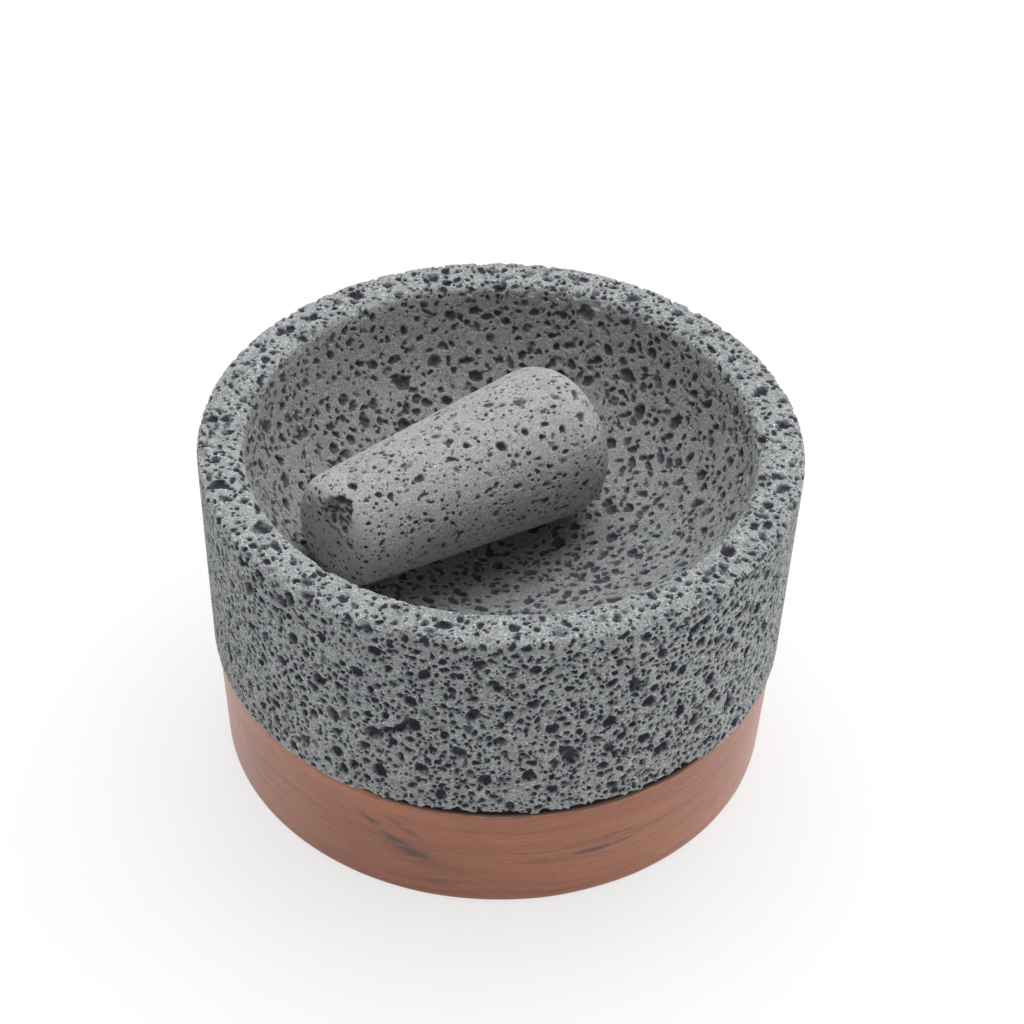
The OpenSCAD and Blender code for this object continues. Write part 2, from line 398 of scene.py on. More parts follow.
# Each kind: number per square mm, radii in mm, how deep the middle lies in radii, stretch, depth in radii.
sawn_kinds = [(0.0085, (1.55, 2.00), (-0.55, 0.20), 1.45, (0.6, 2.0)),
              (0.0330, (1.10, 1.55), (-0.45, 0.30), 1.40, (0.7, 2.0)),
              (0.0560, (0.78, 1.10), (-0.35, 0.40), 1.35, (0.8, 2.2)),
              (0.0720, (0.50, 0.78), (-0.20, 0.50), 1.30, (1.0, 2.4))]
front_kinds = [(0.0100, (1.40, 1.90), (-0.60, 0.10), 1.60, (0.6, 1.8)),
               (0.0300, (0.95, 1.40), (-0.50, 0.20), 1.50, (0.7, 1.8)),
               (0.0450, (0.65, 0.95), (-0.35, 0.40), 1.35, (0.8, 2.2)),
               (0.0460, (0.42, 0.65), (-0.20, 0.50), 1.30, (1.0, 2.4))]
back_kinds = [(0.0170, (1.45, 2.10), (-0.55, 0.10), 1.70, (0.6, 1.8)),
              (0.0420, (0.95, 1.45), (-0.45, 0.25), 1.60, (0.7, 1.8)),
              (0.0450, (0.65, 0.95), (-0.35, 0.40), 1.35, (0.8, 2.2)),
              (0.0300, (0.42, 0.65), (-0.20, 0.50), 1.30, (1.0, 2.4))]
ground_kinds = [(0.0170, (1.40, 1.90), (-0.55, 0.20), 1.90, (0.6, 1.8)),
                (0.0370, (0.95, 1.40), (-0.45, 0.30), 1.80, (0.7, 1.8)),
                (0.0280, (0.65, 0.95), (-0.35, 0.40), 1.60, (0.8, 2.0)),
                (0.0180, (0.45, 0.65), (-0.20, 0.50), 1.30, (1.0, 2.0))]
print(f"points: {len(sawn)} sawn, {np.sum(on_flat)} on the flat rim, {len(ground)} ground")

# %% [markdown]
# ## Broken edges
# Where the thin walls between pores crumble, the long edges of the rim and the foot are broken. A bevel
# would only make them rounder, so wide shallow bites are taken out of them. They are bubbles too, but their
# middles lie outside the stone, so each takes only a shaving. Along the front the foot has crumbled most.

# %% Bites along the bowl's edges
edge_reach = 2.5
outer_edge = np.flatnonzero((height_of > rim_z - edge_reach) & (radius_of > rim_r - edge_reach))
inner_edge = np.flatnonzero((height_of > rim_z - rim_inner_edge) & (radius_of < mouth_r + edge_reach))
foot_edge = np.flatnonzero((height_of < base_top_z + stone_low_edge)
                           & (radius_of > stone_low_r - stone_low_edge))
foot_turn = np.degrees(bowl["turn"]) % 360
broken_middle, broken_half = 281, 36
broken_foot = foot_edge[np.abs(foot_turn[foot_edge] - broken_middle) < broken_half]

# Each edge: its points, the number of bites, their radii and how deep their middles lie.
edge_bites = []
for edge, count, sizes, sink in ((outer_edge, 170, (1.2, 3.8), (-0.95, -0.68)),
                                 (inner_edge, 90, (1.4, 3.6), (-0.95, -0.65)),
                                 (foot_edge, 110, (1.2, 3.2), (-0.95, -0.65)),
                                 (broken_foot, 80, (1.5, 3.0), (-0.60, -0.20))):
    for spot in rng.choice(edge, count):
        edge_bites.append(bubble(rng, bowl["points"][spot], bowl["inward"][spot], rng.uniform(*sizes),
                                 sink, 1.4, (0.3, 0.7)))
print(len(edge_bites), "bites along the edges")

# %% [markdown]
# ## Placing one pit
# A few pits catch the eye before all others. They could be sculpted with a brush, but a brush stroke can't
# be read or repeated, so each is given by numbers: where it lies, how wide, how tall, how tilted and how
# deep it is. A smooth pit would look drilled, so four smaller bubbles run into each one.

# %% Helpers that place a pit


def around_axis(turn, radius, z):
    """A place given by its turn in degrees, its distance from the axis and its height."""
    return np.array([radius * math.cos(math.radians(turn)), radius * math.sin(math.radians(turn)), z])


def mark(rng, skin, at, wide, tall, tilt, deep):
    """One pit of known size near a place, with smaller bubbles that run into it and make its mouth ragged."""
    spot = np.argmin(((skin["points"] - at) ** 2).sum(1))
    middle, turn, inward = skin["points"][spot], skin["turn"][spot], skin["inward"][spot]
    around = np.array([-math.sin(turn), math.cos(turn), 0])
    upward = np.cross(around, inward)
    upward *= np.sign(upward[2]) if abs(upward[2]) > 0.3 else 1
    c, s = math.cos(math.radians(tilt)), math.sin(math.radians(tilt))
    axes = np.stack([c * around + s * upward, c * upward - s * around, inward], axis=1)
    main_share, side_share, proud, no_floor = 0.46, 0.28, 0.3, 9.0
    half_axes = np.array([wide * main_share, tall * main_share, (1 + proud) * deep])
    pits = [(middle - proud * deep * inward, axes / half_axes, half_axes.max(), no_floor)]
    for angle in rng.uniform(0, 2 * math.pi, 4):
        beside = (axes[:, 0] * wide * side_share * math.cos(angle)
                  + axes[:, 1] * tall * side_share * math.sin(angle))
        pits.append(bubble(rng, middle + beside, inward, rng.uniform(0.13, 0.21) * min(wide, tall),
                           (-0.2, 0.4), 1.4, (0.5 * deep, 1.2 * deep)))
    return pits


print("a quarter turn round the rim lies", around_axis(90, rim_r, rim_z).round(1))

# %% [markdown]
# ## The bowl's own pits
# The long pit low on the wall is four that have run together. The others stand alone on the wall, on the
# rim and in the hollow. Those in the hollow are given by their distance from the axis, and the outline says
# how high the floor is there.

# %% Pits that the eye finds first
# Each mark: turn round the bowl in degrees, height or radius, width, height, tilt in degrees, depth.
wall_marks = [(-112.3, 74.0, 8.5, 6.8, 25, 3.0), (-109.5, 77, 8.0, 4.4, 38, 2.8),
              (-107, 79.8, 8.0, 4.4, 38, 2.8), (-104.8, 82.2, 8.0, 6.4, 25, 3.4),
              (-75, 70, 6.6, 6.8, -20, 2.2), (-83, 63, 4.7, 6.2, 0, 2.4),
              (-119, 52, 4.6, 5.3, 0, 1.4), (-117, 56, 3.8, 5.3, 0, 2.2), (-107, 66, 3.2, 5.7, 0, 2.2),
              (-49, 103, 4.4, 4.9, 0, 3.0), (-51, 111, 6.5, 4.4, 25, 2.0), (-80, 110, 4.8, 3.1, 35, 1.8),
              (-81, 103, 4.1, 2.6, 35, 1.8), (-64, 103, 4.9, 4.0, 40, 1.8), (-90, 105, 5.0, 4.0, 15, 1.8),
              (-93, 98, 4.0, 3.5, 0, 1.8), (-87, 91, 3.7, 4.9, 0, 2.4), (-79, 87, 4.4, 3.5, 0, 0.7),
              (-109, 105, 3.9, 4.0, 0, 2.4), (-108, 99, 5.3, 4.0, 15, 1.2), (-136, 56, 3.9, 6.2, -10, 1.8),
              (-130, 117, 4.8, 7.1, 0, 3.4), (-138, 117, 5.0, 6.2, 0, 2.6), (-113, 119, 5.8, 4.0, 0, 2.2),
              (-115, 114, 5.6, 5.3, 0, 0.9), (-66, 67, 4.4, 4.4, 20, 1.6)]
rim_marks = [(-147, 89, 8.1, 8.5, 0, 1.6), (-146, 88, 3.9, 3.6, 0, 2.4), (-128, 88, 5.1, 5.6, 30, 1.8),
             (-121, 88, 3.7, 4.7, 0, 0.8), (-120, 93, 4.4, 4.6, 0, 1.0), (-36, 90, 7.0, 5.6, 20, 2.6),
             (-26, 91, 4.5, 3.9, 0, 1.2), (-19, 91, 4.3, 4.9, 0, 1.6), (-23, 85, 7.3, 4.5, 0, 2.0),
             (3, 85, 6.2, 5.7, 0, 2.4), (-57, 89, 4.2, 4.8, 0, 1.4), (-126, 99, 6.1, 6.2, 20, 1.8),
             (-78, 95, 8.0, 5.3, 0, 0.8), (-101, 97, 7.3, 5.3, 0, 0.7)]
hollow_marks = [(-62, 40, 4.4, 4.6, 0, 2.0), (-50, 52, 4.2, 4.4, 10, 2.2), (-38, 36, 3.8, 4.2, 0, 2.0),
                (-30, 58, 4.2, 4.0, 0, 2.0), (-76, 52, 4.4, 4.6, 0, 2.0), (-88, 44, 3.8, 4.2, 0, 1.8),
                (-66, 62, 3.8, 4.6, 0, 2.0), (-44, 66, 3.6, 4.6, 0, 1.8), (24, 80, 4.0, 5.0, 0, 2.6),
                (18, 56, 3.4, 2.9, 20, 2.0), (-19, 52, 4.0, 4.2, 20, 2.2),
                (172, 73, 3.7, 5.9, 0, 2.6), (121, 69, 3.4, 5.9, 0, 2.0), (108, 68, 5.4, 3.4, 0, 2.4),
                (151, 70, 4.0, 5.0, 0, 1.6)]

bowl_marks = []
for turn, height, *pit in wall_marks:
    bowl_marks += mark(rng, bowl, around_axis(turn, rim_r, height), *pit)
for turn, radius, *pit in rim_marks:
    bowl_marks += mark(rng, bowl, around_axis(turn, radius, rim_z), *pit)
# Rings from the middle to the foot of the hollow's wall. A mark further out lands on the nearest wall.
floor_rings = 180
hollow_floor = bowl_outline[::-1][:floor_rings]
for turn, radius, *pit in hollow_marks:
    height = np.interp(radius, *hollow_floor.T)
    bowl_marks += mark(rng, bowl, around_axis(turn, radius, height), *pit)
print(len(wall_marks) + len(rim_marks) + len(hollow_marks), "pits placed by hand")

# %% [markdown]
# ## Scattered pores
# All other pores are scattered by seeded chance, so that every run gives the same stone. A particle system
# could scatter them, but the bubbles of a foam push each other apart, so a new one that comes too close to
# an old one is dropped, apart from a few that merge. Comparing each with all the others would take minutes,
# so the space is cut into cells, and only the neighbouring cells are searched.

# %% Scatter the bowl's pores


def scatter(rng, skin, where, kinds, large=(), marks=(), merging=0.06, large_sink=(-0.45, 0.05)):
    """Random bubbles that mostly keep clear of each other, as they do in a foam. Large ones come first."""
    cell, tries_each, keep_apart, mark_share = 8.0, 5, 0.95, 0.8
    large_stretch, large_floor = 1.35, (0.8, 1.4)
    area = len(where) * FINE ** 2 * math.sqrt(3) / 2
    nearby = [(i, j, k) for i in (-1, 0, 1) for j in (-1, 0, 1) for k in (-1, 0, 1)]
    cells, found = {}, []
    for middle, _, reach, _ in marks:
        cells.setdefault(tuple((middle // cell).astype(int)), []).append((*middle, mark_share * reach))
    # A large pore may overlap the edge of a mark, but not its middle.
    for at, inward, radius in large:
        if all(np.linalg.norm(at - middle) > 0.7 * reach + 0.5 * radius for middle, _, reach, _ in marks):
            cells.setdefault(tuple((at // cell).astype(int)), []).append((*at, radius))
            found.append(bubble(rng, at, inward, radius, large_sink, large_stretch, large_floor))
    for per_mm2, sizes, sink, stretch, floor in kinds:
        left = round(area * per_mm2)
        tries = tries_each * left
        for spot, radius in zip(rng.choice(where, tries), np.exp(rng.uniform(*np.log(sizes), tries))):
            at = skin["points"][spot].tolist()
            key = tuple(int(v // cell) for v in at)
            others = (other for i, j, k in nearby
                      for other in cells.get((key[0] + i, key[1] + j, key[2] + k), ()))
            close = any(math.dist(at, other[:3]) < keep_apart * (radius + other[3]) for other in others)
            if close and rng.random() > merging:
                continue
            cells.setdefault(key, []).append((*at, radius))
            found.append(bubble(rng, np.array(at), skin["inward"][spot], radius, sink, stretch, floor))
            left -= 1
            if not left:
                break
    return found


bowl_bubbles = bowl_marks + scatter(rng, bowl, sawn, sawn_kinds, large_sawn, bowl_marks,
                                    large_sink=(-0.02, 0.19))
front_share = 0.75
at_front = bowl["points"][:, 1] < -front_share * rim_r
bowl_bubbles += scatter(rng, bowl, np.flatnonzero(on_flat & at_front), front_kinds, large_rim, bowl_marks)
bowl_bubbles += scatter(rng, bowl, np.flatnonzero(on_flat & ~at_front), back_kinds, (), bowl_marks)
bowl_bubbles += scatter(rng, bowl, ground, ground_kinds, large_ground, bowl_marks, merging=0.20)
print(len(bowl_bubbles), "bubbles in the bowl")

# %% [markdown]
# ## Sliding points into bubbles
# Each point looks for the bubbles around it and slides along its way inward until it is out of them. A
# gentle wobble of the space the bubbles sit in makes their mouths uneven. A wall steeper than the points
# can draw would show as a comb, so the depths are settled at the end: no point may lie much deeper than its
# neighbours.

# %% Helpers that open pores in a skin


def wobble(points, rng, wave_mm, amount_mm, waves=14):
    """Smooth random shifts: a sum of a few plane waves in random directions."""
    heading = rng.normal(size=(waves, 3))
    heading /= np.linalg.norm(heading, axis=1, keepdims=True)
    pitch = 2 * math.pi / (wave_mm * rng.uniform(0.7, 1.5, (waves, 1)))
    angle = points @ (heading * pitch).T + rng.uniform(0, 2 * math.pi, waves)
    return np.sin(angle) @ rng.normal(size=(waves, 3)) * amount_mm * math.sqrt(2 / waves)


def settle(depth, triangles, steepest=0.55, share=0.4, rounds=7, soft_from=0.5):
    """Pore depths without walls too steep to draw. Points outside the pores stay where they are."""
    ends = np.concatenate([triangles[:, [0, 1]], triangles[:, [1, 2]], triangles[:, [2, 0]]])
    first, second = ends[np.argsort(ends[:, 0], kind="stable")].T
    starts = np.flatnonzero(np.r_[True, np.diff(first) > 0])
    for _ in range(rounds):
        limit = np.full(len(depth), np.inf)
        limit[first[starts]] = np.minimum.reduceat(depth[second], starts) + steepest
        depth = np.minimum(depth, limit)
    average = depth.copy()
    average[first[starts]] = np.add.reduceat(depth[second], starts) / np.diff(np.r_[starts, len(first)])
    return depth + share * np.clip(depth / soft_from, 0, 1) * (average - depth)


def open_pores(space, inward, found, pore_shade_gain=1.6):
    """How far each point slides inward to clear every bubble that it lies in, and how much painted shade it
    gets there.
    """
    tree = KDTree(len(space))
    for i, p in enumerate(space):
        tree.insert(p, i)
    tree.balance()
    depth, pore_shade = np.zeros(len(space)), np.zeros(len(space))
    for middle, ball, reach, floor in found:
        near = np.array([i for _, i, _ in tree.find_range(middle, reach)], int)
        if not len(near):
            continue
        start = (space[near] - middle) @ ball
        step = inward[near] @ ball
        a, b, c = (step ** 2).sum(1), (start * step).sum(1), (start ** 2).sum(1) - 1
        far_wall = (-b + np.sqrt(np.maximum(b * b - a * c, 0))) / a
        far_wall = np.where(c < 0, floor * np.tanh(far_wall / floor), 0)
        deepest = max(far_wall.max(), 0.05)
        depth[near] = np.maximum(depth[near], far_wall)
        pore_shade[near] = np.maximum(pore_shade[near], far_wall / deepest * min(1, pore_shade_gain * deepest / reach))
    return depth, pore_shade


space = bowl["points"] + wobble(bowl["points"], rng, 2.2, 0.14) + wobble(bowl["points"], rng, 7.0, 0.20)
print(f"the bowl's space wobbles by up to {np.abs(space - bowl['points']).max():.1f} mm")

# %% [markdown]
# ## Shaving the bowl's edges
# First the bites shave the edges, and every pore will then open from the shaved surface. The shoulder stays
# whole, because the stone stands on it. Along the front a thin dark gap shows between the stone and the
# wood: there the foot is pushed inward up to a height that wavers.

# %% Shave the edges and open the gap at the foot
whole_rings = 8
whole = np.clip((bowl["ring"] - first_shown) / whole_rings, 0, 1)
bites, _ = open_pores(space, bowl["inward"], edge_bites)
bites = settle(bites, bowl["triangles"], steepest=0.30)

# Each gap: the turn of its middle and half its width, in degrees, and its height in mm.
foot_gaps = ((281, 35, 2.3), (268, 9, 0.9), (308, 9, 1.9))
gap_fade, gap_deep, gap_waver, low_reach = 4.0, 3.0, 2.4, 4
gap = np.zeros(len(foot_turn))
for middle, half, high in foot_gaps:
    gap += high * np.clip((half - np.abs(foot_turn - middle)) / gap_fade, 0, 1)
gap *= 1 + gap_waver * wobble(bowl["points"], rng, 5.0, 0.10)[:, 0]
under_gap = np.clip(1 - (height_of - base_top_z) / np.maximum(gap, 0.01), 0, 1)
low_edge = (radius_of > spigot_r) & (height_of < base_top_z + low_reach)
bites = np.where(low_edge, np.maximum(bites, gap_deep * np.sqrt(under_gap)), bites)
bitten = bowl["inward"] * (bites * whole)[:, None]
print(f"bites up to {bites.max():.1f} mm deep, {np.mean(bites[foot_edge] > 0.15):.0%} of the foot broken")

# %% [markdown]
# ## Opening the bowl's pores
# Now the pores open. Those deep in the hollow get more painted shade towards its middle, and a grain of a
# few hundredths of a millimetre takes the polish off the faces between them. A displacement map could do
# the grain, but the skin is already fine enough to carry it.

# %% Open the bowl's pores
hollow_shade_r, hollow_shade_fade, hollow_shade_gain = 76, 20, 0.6
bowl_grain = 0.04
bowl_pores, bowl_pore_shade = open_pores(space + bitten, bowl["inward"], bowl_bubbles)
bowl_pores = settle(bowl_pores, bowl["triangles"])
# Painted shade: pores in the hollow are painted darker towards its middle.
bowl_pore_shade *= 1 + hollow_shade_gain * in_hollow * np.clip((hollow_shade_r - radius_of) / hollow_shade_fade, 0, 1)
fine_grain = np.abs(rng.normal(0, bowl_grain, len(bowl_pores))) * (bowl["ring"] >= first_shown)
bowl_points = bowl["points"] + bitten + bowl["inward"] * (bowl_pores * whole + fine_grain)[:, None]
print(f"bowl: {np.mean(bowl_pores[sawn] > 0.15):.0%} of the wall open, deepest {bowl_pores.max():.1f} mm")

# %% [markdown]
# ## Maps for baking
# Smart UV Project would cut a skin of over a million triangles into thousands of scraps. The outline
# already says how it opens flat: the wall is a strip that is cut in two halves, and the top and the
# underside are discs on which the distance from the middle is measured along the surface.

# %% Lay the bowl's skin out flat


def flat_map(skin, outline, islands, sheet, strip_gap=4):
    """UV of every corner. An island is (first ring, last ring, kind, left, bottom, scale), in millimetres."""
    along = np.concatenate([[0], np.cumsum(np.linalg.norm(np.diff(outline, axis=0), axis=1))])
    rings = skin["ring"][skin["triangles"]]
    turns = skin["turns"]
    uv = np.zeros(rings.shape + (2,))
    for first, last, kind, left, bottom, scale in islands:
        mine = (rings.min(axis=1) >= first) & (rings.max(axis=1) <= last)
        run = along[rings[mine]]
        if kind == "strip":
            girth = 2 * math.pi * outline[first:last + 1, 0].max() * scale
            half = (turns[mine].mean(axis=1) % 1 > 0.5).astype(float)[:, None]
            side = (turns[mine] - np.floor(turns[mine].mean(axis=1))[:, None] - half / 2) * girth
            rise = (run - along[first]) * scale
            halves_apart = (along[last] - along[first]) * scale + strip_gap
            uv[mine] = np.stack([left + side, bottom + rise + half * halves_apart], -1)
        else:
            middle = along[first] if kind == "disc_from_first" else along[last]
            radius = np.abs(run - middle) * scale
            angle = turns[mine] * 2 * math.pi
            uv[mine] = np.stack([left + radius * np.cos(angle), bottom + radius * np.sin(angle)], -1)
    return uv / sheet


bowl_sheet = 440.0
wall_top = first_shown + int(np.argmax(bowl_outline[first_shown:, 1] > rim_z - 0.3))
bowl_uv = flat_map(bowl, bowl_outline, [
    (0, first_shown, "disc_from_first", 350.0, 85.0, 0.70),
    (first_shown, wall_top, "strip", 4.0, 266.0, 0.96),
    (wall_top, len(bowl_outline) - 1, "disc_from_last", 131.0, 131.0, 1.0)], bowl_sheet)
print(f"the bowl's map runs from {bowl_uv.min():.3f} to {bowl_uv.max():.3f} of its sheet")

# %% [markdown]
# ## The bowl as an object
# Two numbers go along with every point, and the stone's finish reads them by name: how much painted shade the
# point gets, deep in a pore, and how well it was ground. They could be painted as masks, but an attribute
# needs no picture and is as sharp as the mesh.

# %% Make the bowl


def mesh_object(name, points, triangles, uv):
    """A smooth-shaded mesh object from millimetre points, with its map for baking."""
    mesh = bpy.data.meshes.new(name)
    mesh.vertices.add(len(points))
    mesh.vertices.foreach_set("co", (points * MM).astype(np.float32).ravel())
    mesh.loops.add(triangles.size)
    mesh.loops.foreach_set("vertex_index", triangles.astype(np.int32).ravel())
    mesh.polygons.add(len(triangles))
    mesh.polygons.foreach_set("loop_start", np.arange(0, triangles.size, 3, dtype=np.int32))
    mesh.polygons.foreach_set("use_smooth", np.ones(len(triangles), dtype=bool))
    mesh.uv_layers.new(name="OFBake").data.foreach_set("uv", uv.astype(np.float32).ravel())
    mesh.update(calc_edges=True)
    mesh.validate()
    piece = bpy.data.objects.new(name, mesh)
    bpy.context.scene.collection.objects.link(piece)
    return piece


def point_values(piece, name, values):
    """Stores one number per point, which a material can read by name."""
    piece.data.attributes.new(name, "FLOAT", "POINT").data.foreach_set("value", values.astype(np.float32))


worn_fade = 6
stone_bowl = mesh_object("stone_bowl_skin", bowl_points, bowl["triangles"], bowl_uv)
# The first number is the painted shade of the pores, with some dust.
point_values(stone_bowl, "pore_shade", bowl_pore_shade * whole)
point_values(stone_bowl, "ground", in_hollow * np.clip((rim_z - height_of) / worn_fade, 0, 1))
print(stone_bowl.name, "has", len(stone_bowl.data.polygons), "triangles")

# %% [markdown]
# ## The tejolote
# The hand stone is a denser basalt, rubbed smooth in use: its pores are smaller and further apart, drawn
# out along its axis, with a few shallow scars. A scaled cylinder has no such round ends, so it is spun
# upright like the bowl, and its pores are opened in the same way.

# %% Skin of the tejolote and its kinds of pores
tejolote_l = 105.0
grip_r = 19.0
grind_r = 27.5
grip_edge = 8.5
grind_edge = 13.0

rng = np.random.default_rng(21)
tejolote_tilt = lean(grip_r, grind_r, tejolote_l)
tejolote_outline = [(0, 0)] + foot_round(grip_r, 0, grip_edge, tejolote_tilt)
tejolote_outline += top_round(grind_r, tejolote_l, grind_edge, tejolote_tilt) + [(0, tejolote_l)]
tejolote_outline = even_steps(tejolote_outline, FINE)
tejolote_outline[[0, -1], 0] = 0
hand = spin(tejolote_outline, FINE, soften=11)

everywhere = np.arange(len(hand["points"]))
hand_kinds = [(0.0085, (0.95, 1.50), (-0.50, 0.25), 1.8, (0.6, 1.8)),
              (0.0230, (0.60, 0.95), (-0.40, 0.35), 1.7, (0.7, 1.8)),
              (0.0560, (0.38, 0.60), (-0.25, 0.50), 1.5, (0.8, 2.0))]
print(f"tejolote skin: {len(hand['points'])} points")

# %% [markdown]
# ## The tejolote's pits
# The pits that show most are listed one by one again. The ragged one on the edge of the grip end is a cluster
# of bubbles that have run together, and dust has settled in it unevenly.

# %% Bubbles of the tejolote
# Each mark: turn round the tejolote in degrees, distance from its grip end, width, length, tilt, depth.
hand_marks = [(-172, 8, 4.0, 3.7, 0, 2.6), (-150, 29, 3.2, 4.7, 10, 1.4), (166, 55, 3.2, 8.1, 25, 0.7),
              (-169, 46, 2.8, 3.4, 20, 1.2), (-159, 50, 3.2, 2.7, 0, 2.2), (-146, 61, 4.7, 4.0, 40, 2.2),
              (-149, 71, 3.2, 3.0, 0, 2.2), (-139, 84, 2.8, 2.7, 0, 2.4), (-174, 77, 5.5, 4.7, 0, 0.9),
              (-140, 76, 2.4, 2.7, 0, 1.6), (-128, 62, 3.2, 4.0, 0, 0.6), (-167, 27, 3.6, 4.4, 10, 0.6),
              (-142, 92, 4.0, 3.7, 0, 0.8), (-146, 17, 3.2, 3.0, 0, 1.2)]
hand_bubbles = []
for turn, along, *pit in hand_marks:
    girth_r = grip_r + (grind_r - grip_r) * along / tejolote_l
    hand_bubbles += mark(rng, hand, around_axis(turn, girth_r, along), *pit)

grip_pit = around_axis(-160, 13.6, 0.0)
grip_pit_wide, grip_pit_deep = 13.5, 2.2
cluster_r, cluster_count = 6.0, 30
hand_bubbles += mark(rng, hand, grip_pit, grip_pit_wide, grip_pit_wide, 0, grip_pit_deep)
near = np.flatnonzero(((hand["points"] - grip_pit) ** 2).sum(1) < cluster_r ** 2)
for spot in rng.choice(near, cluster_count):
    hand_bubbles.append(bubble(rng, hand["points"][spot], hand["inward"][spot], rng.uniform(0.8, 1.9),
                               (-0.1, 0.6), 1.7, (1.0, 2.0)))
draw = 0.75
drawn_out = np.diag([1.0, 1.0, draw])
hand_bubbles += [(middle, drawn_out @ ball, reach / draw, floor) for middle, ball, reach, floor in
                 scatter(rng, hand, everywhere, hand_kinds, marks=hand_bubbles)]
print(len(hand_bubbles), "bubbles in the tejolote")

# %% [markdown]
# ## Opening the tejolote's pores
# The pores open as the bowl's did. The pit on the grip end would be evenly dark, as deep pits are, so a
# second wobble thins its painted shade here and there, where pale dust lies, and lets a faint painted shade
# run out over its edge.

# %% Open the tejolote's pores
hand_space = hand["points"] + wobble(hand["points"], rng, 2.2, 0.12)
hand_pores, hand_pore_shade = open_pores(hand_space, hand["inward"], hand_bubbles)
hand_pores = settle(hand_pores, hand["triangles"])

hand_gain, edge_waver = 1.3, 3.0
dust_r, dust_fade, dust_share, dust_waver, dust_most = 8.5, 2.0, 0.30, 1.4, 0.75
shade_r, shade_fade, shade_most = 7.8, 5.0, 0.46
ragged = wobble(hand["points"], rng, 2.5, 0.2)
from_pit = np.linalg.norm(hand_space - grip_pit, axis=1) + edge_waver * ragged[:, 0]
in_pit = np.clip((dust_r - from_pit) / dust_fade, 0, 1)
dust = in_pit * np.clip(dust_share + dust_waver * ragged[:, 1], 0.0, dust_most)
# Painted shade in the grip pit, thinned in patches, and a faint painted shade round its edge.
hand_pore_shade *= hand_gain * (1 - dust)
hand_pore_shade = np.maximum(hand_pore_shade, np.clip((shade_r - from_pit) / shade_fade, 0, shade_most))

hand_grain = 0.045
hand_depth = hand_pores + np.abs(rng.normal(0, hand_grain, len(hand_pores)))
hand_points = hand["points"] + hand["inward"] * hand_depth[:, None]
print(f"tejolote: {np.mean(hand_pores > 0.15):.0%} of it open, deepest {hand_pores.max():.1f} mm")

# %% [markdown]
# ## Laying the tejolote down
# The tejolote is laid where its solid lies, with the thick end falling towards the back of the bowl. Its
# points are moved rather than the object, so that the piece has no transform of its own. The grip end is
# painted a little paler than the rubbed sides, as painted light that the lamps don't bring there, and the
# last number of each point tells the finish where that is.

# %% Lay the tejolote down
lie_turn = 40.0
lie_fall = 3.4
lie_at = (-15.8, 0.0, 102.6)
lay_down = (Matrix.Translation(Vector(lie_at))
            @ Matrix.Rotation(math.radians(lie_turn), 4, "Z")
            @ Matrix.Rotation(math.radians(90 + lie_fall), 4, "Y")
            @ Matrix.Translation((0, 0, -tejolote_l / 2)))
turn_down = np.array(lay_down.to_3x3())
hand_points = hand_points @ turn_down.T + np.array(lay_down.translation)

hand_sheet = 185.0
side_low = int(np.argmax(tejolote_outline[:, 1] > 1.0))
side_high = len(tejolote_outline) - 1 - int(np.argmax(tejolote_outline[::-1, 1] < tejolote_l - 1.0))
hand_uv = flat_map(hand, tejolote_outline, [
    (0, side_low, "disc_from_first", 105.0, 20.0, 1.0),
    (side_low, side_high, "strip", 2.0, 2.0, 0.70),
    (side_high, len(tejolote_outline) - 1, "disc_from_last", 145.0, 75.0, 1.0)], hand_sheet)
tejolote = mesh_object("tejolote_skin", hand_points, hand["triangles"], hand_uv)
# Painted shade in the tejolote's pores.
point_values(tejolote, "pore_shade", hand_pore_shade)
# Painted light: the grip end is painted paler, where the lamps leave it too dark.
painted_light_from, painted_light_fade = 8, 5
side_wear, end_wear = 0.5, 0.15
painted_light_end = np.clip((painted_light_from - hand["points"][:, 2]) / painted_light_fade, 0, 1)
point_values(tejolote, "ground", side_wear + (end_wear - side_wear) * painted_light_end)
point_values(tejolote, "painted_light_end", painted_light_end)
print(tejolote.name, "has", len(tejolote.data.polygons), "triangles")

# %% [markdown]
# ## The wooden base
# The base was turned from one flat slab, so it is spun like the stones, with a crisp top edge, a rounded
# foot, a seat above for the bowl's spigot and a shallow hollow below. A turner's tool leaves the wall very
# slightly wavy, and that is enough to keep its reflections from looking ruled.

# %% Skin of the wooden base
WOOD_STEP = 0.8
base_top_r = 96.0
base_top_edge = 0.75
base_foot_r = 93.5
base_foot_edge = 1.5
seat_play = 1.0
seat_r = spigot_r + seat_play
seat_z = base_top_z - 10.0
seat_edge = 1.0
relief_r = 79.5
relief_depth = 3.0

rng = np.random.default_rng(5)
base_tilt = lean(base_foot_r, base_top_r, base_top_z)
base_outline = [(0, relief_depth), (relief_r, relief_depth), (relief_r, 0)]
base_outline += foot_round(base_foot_r, 0, base_foot_edge, base_tilt)
base_outline += top_round(base_top_r, base_top_z, base_top_edge, base_tilt)
base_outline += arc((seat_r + seat_edge, base_top_z - seat_edge), seat_edge, 90, 180)
base_outline += [(seat_r, seat_z), (0, seat_z)]
base_outline = even_steps(base_outline, WOOD_STEP)
base_outline[[0, -1], 0] = 0
wood = spin(base_outline, WOOD_STEP)
wave_stretch = (0.3, 0.3, 1.0)
wood_wave = np.abs(wobble(wood["points"] * wave_stretch, rng, 9.0, 0.05)[:, :1])
wood_points = wood["points"] + wood["inward"] * wood_wave

